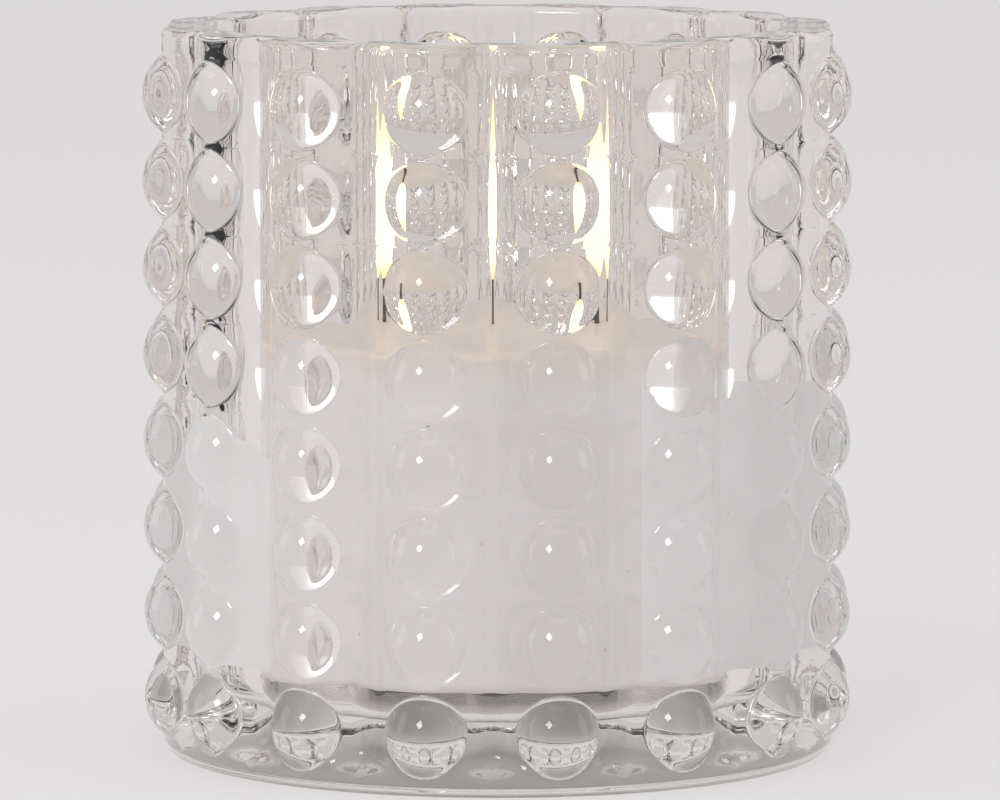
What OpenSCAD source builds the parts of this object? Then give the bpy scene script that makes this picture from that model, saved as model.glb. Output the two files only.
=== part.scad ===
// Hobnail glass candle holder with a lift-out wax candle lit by a small lamp.
// Millimetres. +Z is up; the origin is the middle of the glass foot.

/* [Glass] */
// Height of the glass from foot to rim
glass_h = 80; // [76:0.5:84]
// Radius of the round bore
bore_r = 31; // [30.8:0.1:32]
// Thickness of the glass floor
floor_t = 7.4; // [6:0.1:9]
// Number of upright ribs, each with one column of beads
rib_count = 16; // [16:1:18]
// Radius from the axis to the crest of a rib
crest_r = 37.1; // [36.6:0.1:37.4]
// Radius from the axis to the groove between two ribs
groove_r = 34.4; // [33.8:0.1:34.8]
// Radius of a rib's rounded back
rib_back_r = 7.2; // [6.6:0.1:7.8]
// Radius of the round foot
foot_r = 36.8; // [36:0.1:37.2]
// Height of the round foot below the ribs
foot_h = 2.2; // [1.9:0.1:2.6]
// Rounding at the bottom edge of the foot
foot_edge = 1.6; // [1:0.1:1.8]
// Rounding at the edges of the rim
rim_edge = 0.8; // [0.4:0.1:1.2]
// Rounding where the bore meets the glass floor
bore_corner = 2.4; // [1:0.1:3]
// Radius of the hollow under the foot
hollow_r = 30; // [26:0.5:32]
// Depth of the hollow under the foot
hollow_t = 0.6; // [0.3:0.1:1]

/* [Beads] */
// Number of rows of beads
row_count = 8; // [7:1:8]
// Height of the lowest row's middle
row_z = 6.65; // [6.4:0.05:7]
// Spacing of the rows
row_pitch = 9.45; // [9.2:0.05:9.6]
// Radius of a bead's dome
bead_r = 5.1; // [4.8:0.1:5.4]
// Radius from the axis to the top of a bead
bead_top_r = 39.3; // [38.8:0.1:39.8]

/* [Wax candle] */
// Outer radius of the wax drum
wax_r = 30.2; // [29.6:0.1:30.4]
// Height of the wax drum's flat top above the foot of the glass
wax_top_z = 47.1; // [44:0.1:50]
// Rounding of the wax drum's edges
wax_edge = 1.1; // [0.5:0.1:1.5]
// Thickness of the wax at the top
wax_top_t = 4.1; // [3:0.1:6]
// Inner radius of the wax skirt around the base
skirt_r = 26.1; // [26:0.1:27]
// Height of the wax drum's lower edge above the candle's own foot
skirt_lift = 3.05; // [2.5:0.05:3.5]

/* [Flame and wick] */
// Height at which the flame starts
flame_z = 51.3; // [50:0.1:52]
// Height of the flame
flame_h = 20.9; // [18:0.1:22]
// Largest radius of the flame
flame_r = 3.6; // [3.2:0.1:4.2]
// Wall thickness of the hollow flame
flame_wall = 0.8; // [0.6:0.1:1]
// Outer radius of the wick tube
wick_r = 0.75; // [0.7:0.05:0.9]
// Bore radius of the wick tube
wick_bore_r = 0.56; // [0.55:0.01:0.6]

/* [Base and battery] */
// Outer radius of the round foot that houses the battery
collar_r = 13.4; // [13.3:0.1:14]
// Radius of the battery cover
cover_r = 11.85; // [11.8:0.05:11.9]
// Thickness of the battery cover
cover_t = 1.6; // [1.4:0.1:1.6]
// Outer radius of the base's upright ring
ring_r = 26; // [25.8:0.1:26]
// Thickness of the base plate
plate_t = 1.5; // [1.2:0.1:1.8]
// Radius of the coin cell, a standard 20 mm size
cell_r = 10; // [10:0.1:10]
// Thickness of the coin cell, a standard 3.2 mm size
cell_t = 3.2; // [3.2:0.1:3.2]

/* [Electronics] */
// Radius of the round circuit board
board_r = 22.8; // [22:0.1:23]
// Thickness of the circuit board
board_t = 1; // [0.8:0.1:1.2]
// Distance from the axis to the slide switch
switch_y = 18; // [17:0.5:19]
// Travel of the switch knob
switch_travel = 2; // [1.5:0.1:2.5]
// Distance from the axis to the screws
screw_ring_r = 20.6; // [20:0.1:21]
// Radius of a lamp lead
lead_r = 0.22; // [0.18:0.01:0.24]

/* [Hidden] */
$fn = 96;

over = 1;                                   // how far a cut runs past a face
seat_gap = 0.05;                            // the candle's foot above the glass floor
candle_z = floor_t + seat_gap;              // lowest point of the candle
rib_step = 360 / rib_count;
rib_axis_r = crest_r - rib_back_r;
bead_axis_r = bead_top_r - bead_r;

wax_low_z = candle_z + skirt_lift;
plate_z = wax_low_z + 0.2;                  // underside of the base plate
plate_top_z = plate_z + plate_t;
cover_z = candle_z + 0.2;                   // underside of the battery cover
cover_top_z = cover_z + cover_t;
cell_z = cover_top_z + 0.05;
cell_top_z = cell_z + cell_t;
cup_r = 11.6;                               // outside of the battery cup
cup_in_r = cell_r + 0.25;
cup_roof_z = cell_top_z + 0.9;              // underside of the cup's roof
cup_roof_t = 1.2;
board_z = cup_roof_z + cup_roof_t + 0.3;
board_top_z = board_z + board_t;
ring_in_r = ring_r - 1.4;
ring_top_z = plate_top_z + 8.5;
cap_r = ring_in_r - 0.2;                    // outside of the inner housing
cap_top_z = ring_top_z + 1.6;
cap_wall = 1.2;
wax_ledge_r = ring_in_r + 0.4;              // wax wall above the ring
wax_roof_z = wax_top_z - wax_top_t;
column_r = 4.6;
column_bore_r = 3;
column_top_z = wax_roof_z - 0.1;
wick_low_z = column_top_z - 4;
wick_top_z = flame_z + 1.6;

lug_r = 12.6;                               // reach of the battery cover's two lugs
lug_t = 0.8;
lug_angle = 24;
lug_z = cover_top_z - lug_t - 0.2;
groove_clear = 0.15;
entry_turn = 45;                            // where the lugs leave the collar
boss_r = 2.3;
screw_turns = [30, 150, 270];
knob_w = 2.6;
knob_l = 2.2;
knob_low_z = plate_z - 1.4;
switch_l = 8.6;
switch_w = 4.4;
slot_side = 0.25;                           // room beside the knob in its slot
flame_belly = 0.35;                         // where the flame is widest, as a share of its height
flame_fullness = 1.6;                       // higher is slimmer towards both ends
led_w = 1.6;
led_board_t = 0.6;
led_board_h = 9;
led_board_z = wick_top_z + 0.1;

// ---- shared shapes ---------------------------------------------------------

// Solid drum with rounded lower and upper outer edges.
module soft_drum(radius, low, high, edge_low, edge_high) {
    rotate_extrude()
        soft_profile(radius, low, high, edge_low, edge_high);
}

// Half section of that drum.
module soft_profile(radius, low, high, edge_low, edge_high) {
    translate([0, low])
        square([radius - edge_low, high - low]);
    translate([0, low + edge_low])
        square([radius, high - low - edge_low - edge_high]);
    translate([0, high - edge_high - edge_low])
        square([radius - edge_high, edge_high + edge_low]);
    translate([radius - edge_low, low + edge_low])
        circle(edge_low);
    translate([radius - edge_high, high - edge_high])
        circle(edge_high);
}

// Upright tube between two heights.
module tube(outer, inner, low, high) {
    translate([0, 0, low])
        difference() {
            cylinder(r = outer, h = high - low);
            translate([0, 0, -over])
                cylinder(r = inner, h = high - low + 2 * over);
        }
}

// Upright disc between two heights.
module disc(radius, low, high) {
    translate([0, 0, low])
        cylinder(r = radius, h = high - low);
}

// Box centred in X and Y on a point, from low to high.
module block(x, y, length, width, low, high) {
    translate([x - length / 2, y - width / 2, low])
        cube([length, width, high - low]);
}

// Wedge of a ring, centred on an angle.
module ring_sector(outer, inner, low, high, middle, spread) {
    rotate([0, 0, middle - spread / 2])
        translate([0, 0, low])
            rotate_extrude(angle = spread)
                translate([inner, 0])
                    square([outer - inner, high - low]);
}

// Round wire through a list of points, a little fuller at each bend.
module wire(points, radius) {
    for (i = [0 : len(points) - 2])
        rod(points[i], points[i + 1], radius);
    for (i = [1 : len(points) - 2])
        translate(points[i])
            sphere(radius * 1.15, $fn = 24);
}

// Straight round rod between two points that share Y.
module rod(from, to, radius) {
    run = to - from;
    length = norm(run);
    lean = acos(run[2] / length) * (run[0] < 0 ? -1 : 1);
    translate(from)
        rotate([0, lean, 0])
            cylinder(r = radius, h = length, $fn = 24);
}

// Places children at each screw.
module at_screws() {
    for (turn = screw_turns)
        rotate([0, 0, turn])
            translate([screw_ring_r, 0, 0])
                children();
}

// ---- the glass -------------------------------------------------------------

// Outline of the ribbed wall, seen from above.
module rib_outline() {
    circle(groove_r);
    for (i = [0 : rib_count - 1])
        rotate(i * rib_step)
            translate([0, -rib_axis_r])
                circle(rib_back_r);
}

// The ribbed wall with its rim rounded on the crests.
module ribbed_wall() {
    intersection() {
        translate([0, 0, foot_edge])
            linear_extrude(glass_h - foot_edge)
                rib_outline();
        soft_drum(crest_r + 0.01, 0, glass_h, rim_edge, rim_edge);
    }
}

// All beads, one column on the crest of each rib.
module beads() {
    for (i = [0 : rib_count - 1], k = [0 : row_count - 1])
        rotate([0, 0, i * rib_step])
            translate([0, -bead_axis_r, row_z + k * row_pitch])
                sphere(bead_r, $fn = 48);
}

// The round bore with its rounded lower corner.
module bore() {
    soft_drum(bore_r, floor_t, glass_h + over + bore_corner, bore_corner, bore_corner);
}

module glass_holder() {
    color([0.86, 0.91, 0.93, 0.45])
        difference() {
            union() {
                soft_drum(foot_r, 0, foot_h + foot_edge, foot_edge, foot_edge);
                ribbed_wall();
                beads();
            }
            bore();
            disc(hollow_r, -over, hollow_t);
        }
}

// ---- the wax candle --------------------------------------------------------

module wax_shell() {
    color([0.96, 0.94, 0.9])
        difference() {
            soft_drum(wax_r, wax_low_z, wax_top_z, wax_edge, wax_edge);
            disc(skirt_r, wax_low_z - over, ring_top_z + 0.05);
            disc(wax_ledge_r, ring_top_z - over, wax_roof_z);
            disc(wick_r + 0.15, wax_roof_z - over, wax_top_z + over);
        }
}

module wick_tube() {
    color([0.06, 0.06, 0.06])
        tube(wick_r, wick_bore_r, wick_low_z, wick_top_z);
}

// Half section of a flame: a leaf, widest a third of the way up.
function leaf(t) = pow(t / flame_belly, flame_belly) * pow((1 - t) / (1 - flame_belly), 1 - flame_belly);
function flame_outline(radius, height, steps) = [
    for (i = [0 : steps])
        [radius * pow(leaf(i / steps), flame_fullness), height * i / steps]
];

module flame_solid(radius, height, low) {
    translate([0, 0, low])
        rotate_extrude()
            polygon(concat([[0, 0]], flame_outline(radius, height, 20), [[0, height]]));
}

module flame_shell() {
    color([1, 0.86, 0.55, 0.8])
        difference() {
            flame_solid(flame_r, flame_h, flame_z);
            flame_solid(flame_r - flame_wall, flame_h - 4, flame_z + 1);
            disc(wick_r + 0.03, flame_z - over, flame_z + 2);
        }
}

module led_board() {
    color([0.93, 0.93, 0.88])
        block(0, 0, led_w, led_board_t, led_board_z, led_board_z + led_board_h);
}

module led_chips() {
    color([1, 0.85, 0.3])
        for (side = [-1, 1])
            block(0, side * (led_board_t / 2 + 0.3), 1.2, 0.6,
                  led_board_z + led_board_h - 2.6, led_board_z + led_board_h - 0.6);
}

// ---- the base --------------------------------------------------------------

// Room in the collar for the battery cover and its two lugs.
module cover_room() {
    disc(cover_r + groove_clear, candle_z - over, cover_top_z + 0.02);
    disc(lug_r + groove_clear, lug_z - groove_clear, lug_z + lug_t + groove_clear);
    for (side = [0, 180])
        ring_sector(lug_r + groove_clear / 2, cover_r - over, candle_z - over, lug_z + lug_t / 2,
                    entry_turn + side, lug_angle + 6);
}

// Plate, collar, battery cup and ring, before anything is cut.
module base_solid() {
    disc(ring_r, plate_z, plate_top_z);
    disc(collar_r, candle_z, plate_top_z);
    disc(cup_r, plate_z, cup_roof_z + cup_roof_t);
    tube(ring_r, ring_in_r, plate_z, ring_top_z);
}

module base_housing() {
    color([0.17, 0.17, 0.18])
        difference() {
            base_solid();
            cover_room();
            disc(cup_in_r, cell_z - 0.3, cup_roof_z);
            // window for the side contact and hole for the upper contact's tail
            block(cup_in_r + 0.3, 0, 1.4, 4.4, cover_top_z - 0.5, cup_roof_z + cup_roof_t + over);
            block(-4, 0, 1.4, 2.6, cup_roof_z - over, cup_roof_z + cup_roof_t + over);
            // slot for the switch knob
            block(switch_travel / 2, switch_y, knob_l + switch_travel + 2 * slot_side,
                  knob_w + 2 * slot_side, plate_z - over, plate_top_z + over);
            at_screws() {
                disc(1.2, plate_z - over, plate_top_z + over);
                disc(2.1, plate_z - over, plate_z + 0.7);
            }
        }
}

module inner_housing() {
    color([0.93, 0.93, 0.9])
        difference() {
            union() {
                tube(cap_r, cap_r - cap_wall, plate_top_z, cap_top_z);
                disc(cap_r, cap_top_z - cap_wall, cap_top_z);
                disc(column_r, cap_top_z - cap_wall, column_top_z);
                at_screws()
                    disc(boss_r, plate_top_z, cap_top_z);
            }
            disc(column_bore_r, cap_top_z - cap_wall - over, wick_low_z);
            disc(wick_r, wick_low_z - over, column_top_z + over);
            at_screws()
                disc(0.8, plate_top_z - over, plate_top_z + 5.5);
        }
}

module housing_screws() {
    color([0.75, 0.75, 0.77])
        at_screws()
            difference() {
                union() {
                    disc(0.8, plate_z + 0.6, plate_top_z + 5);
                    disc(1.9, plate_z + 0.05, plate_z + 0.7);
                }
                block(0, 0, 2.4, 0.5, plate_z - over, plate_z + 0.4);
                block(0, 0, 0.5, 2.4, plate_z - over, plate_z + 0.4);
            }
}

module battery_cover() {
    color([0.2, 0.2, 0.21])
        difference() {
            union() {
                disc(cover_r, cover_z, cover_top_z - 0.05);
                for (side = [0, 180])
                    ring_sector(lug_r, cover_r - over, lug_z, lug_z + lug_t, side, lug_angle);
            }
            // slot for a coin, and a dot that shows the locked place
            block(0, 0, 15, 1.9, cover_z - over, cover_z + 0.8);
            translate([9.6, 0, cover_z - over])
                cylinder(r = 0.6, h = over + 0.3);
        }
}

module coin_cell() {
    color([0.8, 0.8, 0.8])
        union() {
            disc(cell_r, cell_z, cell_top_z - 0.5);
            disc(cell_r - 1.2, cell_z, cell_top_z);
        }
}

module positive_contact() {
    color([0.83, 0.76, 0.5])
        union() {
            block(cell_r + 0.18, 0, 0.3, 3.4, cell_z + 0.3, board_z);
            block(cell_r + 0.9, 0, 1.74, 3.4, board_z - 0.25, board_z);
        }
}

module negative_contact() {
    color([0.83, 0.76, 0.5])
        union() {
            disc(2.2, cell_top_z, cell_top_z + 0.3);
            block(-2.5, 0, 3.3, 2, cell_top_z, cell_top_z + 0.3);
            block(-4, 0, 0.3, 2, cell_top_z, board_z);
        }
}

// ---- the electronics -------------------------------------------------------

module circuit_board() {
    color([0.1, 0.42, 0.22])
        difference() {
            disc(board_r, board_z, board_top_z);
            at_screws()
                disc(boss_r + 0.4, board_z - over, board_top_z + over);
            for (side = [-1, 1])
                translate([side * 1.8, 0, board_z - over])
                    cylinder(r = lead_r + 0.1, h = board_t + 2 * over);
        }
}

module control_chip() {
    color([0.08, 0.08, 0.08])
        difference() {
            block(10, 4, 4.9, 3.9, board_top_z + 0.1, board_top_z + 1.6);
            translate([8.3, 5.2, board_top_z + 1.5])
                cylinder(r = 0.35, h = over);
        }
}

module chip_leads() {
    color([0.8, 0.8, 0.82])
        for (side = [-1, 1], i = [-1.5 : 1 : 1.5])
            union() {
                block(10 + i * 1.27, 4 + side * 2.7, 0.42, 1.1, board_top_z, board_top_z + 0.2);
                block(10 + i * 1.27, 4 + side * 2.25, 0.42, 0.6, board_top_z, board_top_z + 0.8);
            }
}

module timer_crystal() {
    color([0.82, 0.82, 0.84])
        translate([-13, -3, board_top_z + 1])
            rotate([0, 90, 0])
                cylinder(r = 1, h = 6, $fn = 48);
}

module chip_resistors() {
    color([0.12, 0.12, 0.13])
        for (i = [0 : 2])
            block(-10 + i * 3, 7, 2, 1.25, board_top_z, board_top_z + 0.55);
}

module chip_capacitor() {
    color([0.72, 0.58, 0.42])
        block(-1, -8, 3.2, 1.6, board_top_z, board_top_z + 1.2);
}

module switch_body() {
    color([0.78, 0.79, 0.8])
        difference() {
            block(switch_travel / 2, switch_y, switch_l, switch_w, plate_top_z, board_z);
            block(switch_travel / 2, switch_y, switch_l - 1.6, switch_w - 0.8,
                  plate_top_z - over, board_z - 0.6);
        }
}

module switch_knob() {
    color([0.05, 0.05, 0.05])
        difference() {
            union() {
                block(0, switch_y, knob_l, knob_w, knob_low_z, plate_top_z + 0.3);
                block(0, switch_y, 3.6, knob_w + 0.6, plate_top_z + 0.3, board_z - 0.9);
            }
            for (i = [-1 : 1])
                block(i * 0.7, switch_y, 0.25, knob_w + over, knob_low_z - over, knob_low_z + 0.25);
        }
}

// Route of a lamp lead on one side of the axis.
function lead_route(side) = [
    [side * 1.8, 0, board_z + 0.2],
    [side * 1.8, 0, cap_top_z],
    [side * (lead_r + 0.05), 0, wick_low_z - 3],
    [side * (lead_r + 0.05), 0, led_board_z]
];

module lead_red() {
    color([0.75, 0.08, 0.06])
        wire(lead_route(1), lead_r);
}

module lead_black() {
    color([0.05, 0.05, 0.05])
        wire(lead_route(-1), lead_r);
}

glass_holder();
wax_shell();
wick_tube();
flame_shell();
led_board();
led_chips();
base_housing();
inner_housing();
housing_screws();
battery_cover();
coin_cell();
positive_contact();
negative_contact();
circuit_board();
control_chip();
chip_leads();
timer_crystal();
chip_resistors();
chip_capacitor();
switch_body();
switch_knob();
lead_red();
lead_black();
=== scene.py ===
"""Looks of a hobnail glass holder with a lamp-lit wax candle standing in it."""

import logging  # noqa: E402
import math  # noqa: E402
from dataclasses import dataclass, field  # noqa: E402
from enum import Enum  # noqa: E402
from typing import Callable, Sequence  # noqa: E402

import bpy  # noqa: E402
import numpy as np  # noqa: E402
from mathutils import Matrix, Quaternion, Vector  # noqa: E402


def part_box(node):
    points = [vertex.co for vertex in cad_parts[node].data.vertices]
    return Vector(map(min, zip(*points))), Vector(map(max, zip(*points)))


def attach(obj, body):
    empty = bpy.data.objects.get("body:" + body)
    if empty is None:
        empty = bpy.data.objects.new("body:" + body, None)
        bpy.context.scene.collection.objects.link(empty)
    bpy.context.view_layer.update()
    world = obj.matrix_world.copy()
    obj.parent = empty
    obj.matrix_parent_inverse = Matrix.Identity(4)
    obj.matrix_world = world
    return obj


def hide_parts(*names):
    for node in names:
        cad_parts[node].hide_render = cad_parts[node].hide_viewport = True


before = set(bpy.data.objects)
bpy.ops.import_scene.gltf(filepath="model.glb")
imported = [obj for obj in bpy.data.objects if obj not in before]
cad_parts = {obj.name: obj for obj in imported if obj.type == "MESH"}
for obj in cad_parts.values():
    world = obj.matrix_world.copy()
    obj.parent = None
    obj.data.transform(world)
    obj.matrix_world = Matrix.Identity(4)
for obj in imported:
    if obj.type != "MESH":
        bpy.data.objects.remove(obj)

log = logging.getLogger("hobnail_glass")

MM = 0.001
TURN = 2 * math.pi
WELD = 0.0005 * MM

Colour = tuple[float, float, float]
Points = np.ndarray


class Body(str, Enum):
    """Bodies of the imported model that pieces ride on."""

    GLASS = "glass"
    CANDLE = "candle"


class Grain(Enum):
    """How a moulded surface was left by its tool."""

    SATIN = 0.35
    SPARKED = 1.0


# ---- node helpers ----------------------------------------------------------


class NodeBench:
    """A material's node tree with short calls for the nodes that the finishes share."""

    def __init__(self, name: str) -> None:
        """Starts an empty material.

        Args:
            name: Name of the material.
        """
        self.material = bpy.data.materials.new(name)
        self.material.use_nodes = True
        self.tree = self.material.node_tree
        self.tree.nodes.clear()
        self.out = self.add("ShaderNodeOutputMaterial")
        self.place = self.add("ShaderNodeTexCoord").outputs["Object"]

    def add(self, kind: str, **settings: object) -> bpy.types.Node:
        """Adds a node.

        Args:
            kind: Blender's type name of the node.
            **settings: Attributes to set on it.

        Returns:
            The new node.
        """
        node = self.tree.nodes.new(kind)
        for key, value in settings.items():
            setattr(node, key, value)
        return node

    def join(self, source: bpy.types.NodeSocket, target: bpy.types.NodeSocket) -> None:
        """Links two sockets."""
        self.tree.links.new(source, target)

    def stretched(self, scale: Sequence[float]) -> bpy.types.NodeSocket:
        """Object coordinates scaled apart on each axis.

        Args:
            scale: Factor on X, Y and Z.

        Returns:
            The vector socket.
        """
        node = self.add("ShaderNodeMapping")
        node.inputs["Scale"].default_value = scale
        self.join(self.place, node.inputs["Vector"])
        return node.outputs["Vector"]

    def noise(
        self,
        size: float,
        detail: float = 3.0,
        roughness: float = 0.5,
        vector: bpy.types.NodeSocket | None = None,
    ) -> bpy.types.NodeSocket:
        """Smooth noise.

        Args:
            size: Size of its features in metres.
            detail: Number of finer octaves.
            roughness: Share of each finer octave.
            vector: Coordinates, or None for the object's own.

        Returns:
            The value socket, about 0 to 1.
        """
        node = self.add("ShaderNodeTexNoise")
        node.inputs["Scale"].default_value = 1 / size
        node.inputs["Detail"].default_value = detail
        node.inputs["Roughness"].default_value = roughness
        self.join(vector or self.place, node.inputs["Vector"])
        return node.outputs["Fac"]

    def cells(self, size: float, feature: str = "F1") -> bpy.types.NodeSocket:
        """Distance to the nearest of scattered points.

        Args:
            size: Spacing of the points in metres.
            feature: Blender's name of the distance.

        Returns:
            The distance socket.
        """
        node = self.add("ShaderNodeTexVoronoi", feature=feature)
        node.inputs["Scale"].default_value = 1 / size
        self.join(self.place, node.inputs["Vector"])
        return node.outputs["Distance"]

    def height(self) -> bpy.types.NodeSocket:
        """The height above the foot, in metres."""
        node = self.add("ShaderNodeSeparateXYZ")
        self.join(self.place, node.inputs["Vector"])
        return node.outputs["Z"]

    def mapped(
        self,
        value: bpy.types.NodeSocket,
        start: float,
        end: float,
        low: float = 0.0,
        high: float = 1.0,
    ) -> bpy.types.NodeSocket:
        """A value carried from one range to another and held inside it.

        Args:
            value: Incoming socket.
            start: Value that gives low.
            end: Value that gives high.
            low: First result.
            high: Last result.

        Returns:
            The result socket.
        """
        node = self.add("ShaderNodeMapRange", clamp=True)
        for name, number in (
            ("From Min", start),
            ("From Max", end),
            ("To Min", low),
            ("To Max", high),
        ):
            node.inputs[name].default_value = number
        self.join(value, node.inputs["Value"])
        return node.outputs["Result"]

    def ramp(
        self, value: bpy.types.NodeSocket, stops: Sequence[tuple[float, Colour]]
    ) -> bpy.types.NodeSocket:
        """A colour ramp.

        Args:
            value: Socket that picks the colour.
            stops: Places from 0 to 1 with their colours.

        Returns:
            The colour socket.
        """
        node = self.add("ShaderNodeValToRGB")
        elements = node.color_ramp.elements
        while len(elements) < len(stops):
            elements.new(0.5)
        for element, (place, colour) in zip(elements, stops):
            element.position = place
            element.color = (*colour, 1.0)
        self.join(value, node.inputs["Fac"])
        return node.outputs["Color"]

    def bump(
        self,
        value: bpy.types.NodeSocket,
        strength: float,
        depth: float,
        below: bpy.types.NodeSocket | None = None,
    ) -> bpy.types.NodeSocket:
        """Bump from a height value.

        Args:
            value: Height socket.
            strength: Share of the bump that shows.
            depth: Real depth in metres.
            below: Normal socket of a coarser bump, if any.

        Returns:
            The normal socket.
        """
        node = self.add("ShaderNodeBump")
        node.inputs["Strength"].default_value = strength
        node.inputs["Distance"].default_value = depth
        self.join(value, node.inputs["Height"])
        if below is not None:
            self.join(below, node.inputs["Normal"])
        return node.outputs["Normal"]

    def principled(
        self, roughness: float, metallic: float = 0.0, ior: float = 1.5
    ) -> bpy.types.Node:
        """A Principled shader on the material's output.

        Args:
            roughness: Roughness where nothing drives it.
            metallic: Share of metal.
            ior: Index of refraction.

        Returns:
            The shader node.
        """
        node = self.add("ShaderNodeBsdfPrincipled")
        node.inputs["Roughness"].default_value = roughness
        node.inputs["Metallic"].default_value = metallic
        node.inputs["IOR"].default_value = ior
        self.join(node.outputs["BSDF"], self.out.inputs["Surface"])
        self.shader = node
        return node

    def drive(self, name: str, source: bpy.types.NodeSocket) -> None:
        """Links a socket to one of the shader's inputs."""
        self.join(source, self.shader.inputs[name])

    def shine(self, value: bpy.types.NodeSocket, low: float, high: float) -> None:
        """Lets a noise carry the roughness from low to high."""
        self.drive("Roughness", self.mapped(value, 0.3, 0.7, low, high))

    def blend(
        self,
        share: bpy.types.NodeSocket,
        first: bpy.types.NodeSocket | Colour,
        second: bpy.types.NodeSocket | Colour,
    ) -> bpy.types.NodeSocket:
        """Goes from one colour to another.

        Args:
            share: Socket that is 0 at the first colour and 1 at the second.
            first: A colour, or the socket that gives it.
            second: A colour, or the socket that gives it.

        Returns:
            The colour socket.
        """
        node = self.add("ShaderNodeMix", data_type="RGBA")
        self.join(share, node.inputs["Factor"])
        for name, colour in (("A", first), ("B", second)):
            if isinstance(colour, tuple):
                node.inputs[name].default_value = (*colour, 1.0)
            else:
                self.join(colour, node.inputs[name])
        return node.outputs["Result"]

    def tones(
        self, value: bpy.types.NodeSocket, colour: Colour, *stops: tuple[float, float]
    ) -> bpy.types.NodeSocket:
        """A ramp through shades of one colour, from places and factors."""
        return self.ramp(value, [(at, shade(colour, share)) for at, share in stops])

    def open_to_light(self, shader: bpy.types.Node, tint: Colour) -> None:
        """Lets lamp light and scattered light straight through a glass shader.

        Args:
            shader: The glass shader, which every other ray still meets.
            tint: Share of each channel that one surface lets through.
        """
        clear = self.add("ShaderNodeBsdfTransparent")
        clear.inputs["Color"].default_value = (*tint, 1.0)
        path = self.add("ShaderNodeLightPath")
        surface = shader.outputs["BSDF"]
        for ray in ("Is Shadow Ray", "Is Diffuse Ray"):
            mix = self.add("ShaderNodeMixShader")
            self.join(path.outputs[ray], mix.inputs["Fac"])
            self.join(surface, mix.inputs[1])
            self.join(clear.outputs["BSDF"], mix.inputs[2])
            surface = mix.outputs["Shader"]
        self.join(surface, self.out.inputs["Surface"])


def shade(colour: Colour, factor: float) -> Colour:
    """A colour with the given share of each channel."""
    return (colour[0] * factor, colour[1] * factor, colour[2] * factor)


# ---- finishes --------------------------------------------------------------


@dataclass(frozen=True)
class PressedGlass:
    """Clear pressed glass, fire-polished, with a trace of haze here and there, greyed by
    painted shade.
    """

    # Painted shade: the glass's colour is greyer than clear glass, standing in for the
    # darker surroundings seen through it.
    tint: Colour = (0.915, 0.885, 0.872)
    lamp_tint: Colour = (0.96, 0.955, 0.95)
    ior: float = 1.5
    haze: float = 0.012
    haze_size: float = 11 * MM

    def make(self) -> bpy.types.Material:
        """Builds the glass, which lets soft light through to what stands in it."""
        bench = NodeBench("pressed_glass")
        shader = bench.principled(0.0, ior=self.ior)
        # Painted shade: the grey tint darkens everything seen through the glass.
        shader.inputs["Base Color"].default_value = (*self.tint, 1.0)
        shader.inputs["Transmission Weight"].default_value = 1.0
        haze = bench.mapped(bench.noise(self.haze_size), 0.55, 0.8, 0.0, self.haze)
        bench.drive("Roughness", haze)
        bench.open_to_light(shader, self.lamp_tint)
        return bench.material


@dataclass(frozen=True)
class StippledFoot:
    """The glass's underside, stippled by the mould so that it scatters light."""

    colour: Colour = (0.93, 0.915, 0.91)
    roughness: float = 0.5
    clear_share: float = 0.75
    lamp_tint: Colour = (0.95, 0.945, 0.94)
    stipple_size: float = 0.8 * MM

    def make(self) -> bpy.types.Material:
        """Builds the stippled glass."""
        bench = NodeBench("stippled_foot")
        shader = bench.principled(self.roughness)
        shader.inputs["Transmission Weight"].default_value = self.clear_share
        cloud = bench.noise(5 * MM)
        tone = bench.tones(cloud, self.colour, (0.3, 0.93), (0.7, 1))
        bench.drive("Base Color", tone)
        dots = bench.cells(self.stipple_size)
        bench.drive("Normal", bench.bump(dots, 0.4, 0.06 * MM))
        bench.open_to_light(shader, self.lamp_tint)
        return bench.material


@dataclass(frozen=True)
class CandleWax:
    """Cream wax: soft light inside, faint mottling, a skin of tiny dimples and a painted
    warm shade at its top.
    """

    body: Colour = (0.77, 0.77, 0.782)
    deep: Colour = (0.725, 0.72, 0.72)
    # Painted light: the top of the wax is painted darker and warmer, standing in for
    # warm light and shade falling on it inside the glass.
    painted_warm_top: Colour = (0.72, 0.675, 0.63)
    painted_warm_low: float = 43.5 * MM
    painted_warm_high: float = 46.4 * MM
    speck: Colour = (0.34, 0.32, 0.31)
    speck_spacing: float = 3.6 * MM
    scatter: Colour = (1.0, 0.62, 0.36)
    scatter_depth: float = 1.6 * MM
    mottle_size: float = 9 * MM
    skin_size: float = 0.7 * MM

    def make(self) -> bpy.types.Material:
        """Builds the wax."""
        bench = NodeBench("candle_wax")
        shader = bench.principled(0.46, ior=1.44)
        mottle = bench.noise(self.mottle_size, detail=4.0, roughness=0.55)
        cast = bench.ramp(mottle, [(0.3, self.deep), (0.62, self.body)])
        # Painted light: a darker, warmer colour is blended in towards the top of the
        # wax.
        painted_warm_share = bench.mapped(bench.height(), self.painted_warm_low, self.painted_warm_high)
        skin = bench.blend(painted_warm_share, cast, self.painted_warm_top)
        clean = bench.mapped(bench.cells(self.speck_spacing), 0.03, 0.05)
        bench.drive("Base Color", bench.blend(clean, self.speck, skin))
        shader.inputs["Subsurface Weight"].default_value = 0.55
        shader.inputs["Subsurface Radius"].default_value = self.scatter
        shader.inputs["Subsurface Scale"].default_value = self.scatter_depth
        shader.inputs["Coat Weight"].default_value = 0.08
        shader.inputs["Coat Roughness"].default_value = 0.3
        coarse = bench.bump(bench.noise(6 * MM, detail=2.0), 0.3, 0.25 * MM)
        fine = bench.bump(bench.noise(self.skin_size), 0.22, 0.05 * MM, coarse)
        bench.drive("Normal", fine)
        bench.shine(bench.noise(2.5 * MM), 0.38, 0.55)
        return bench.material


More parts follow.
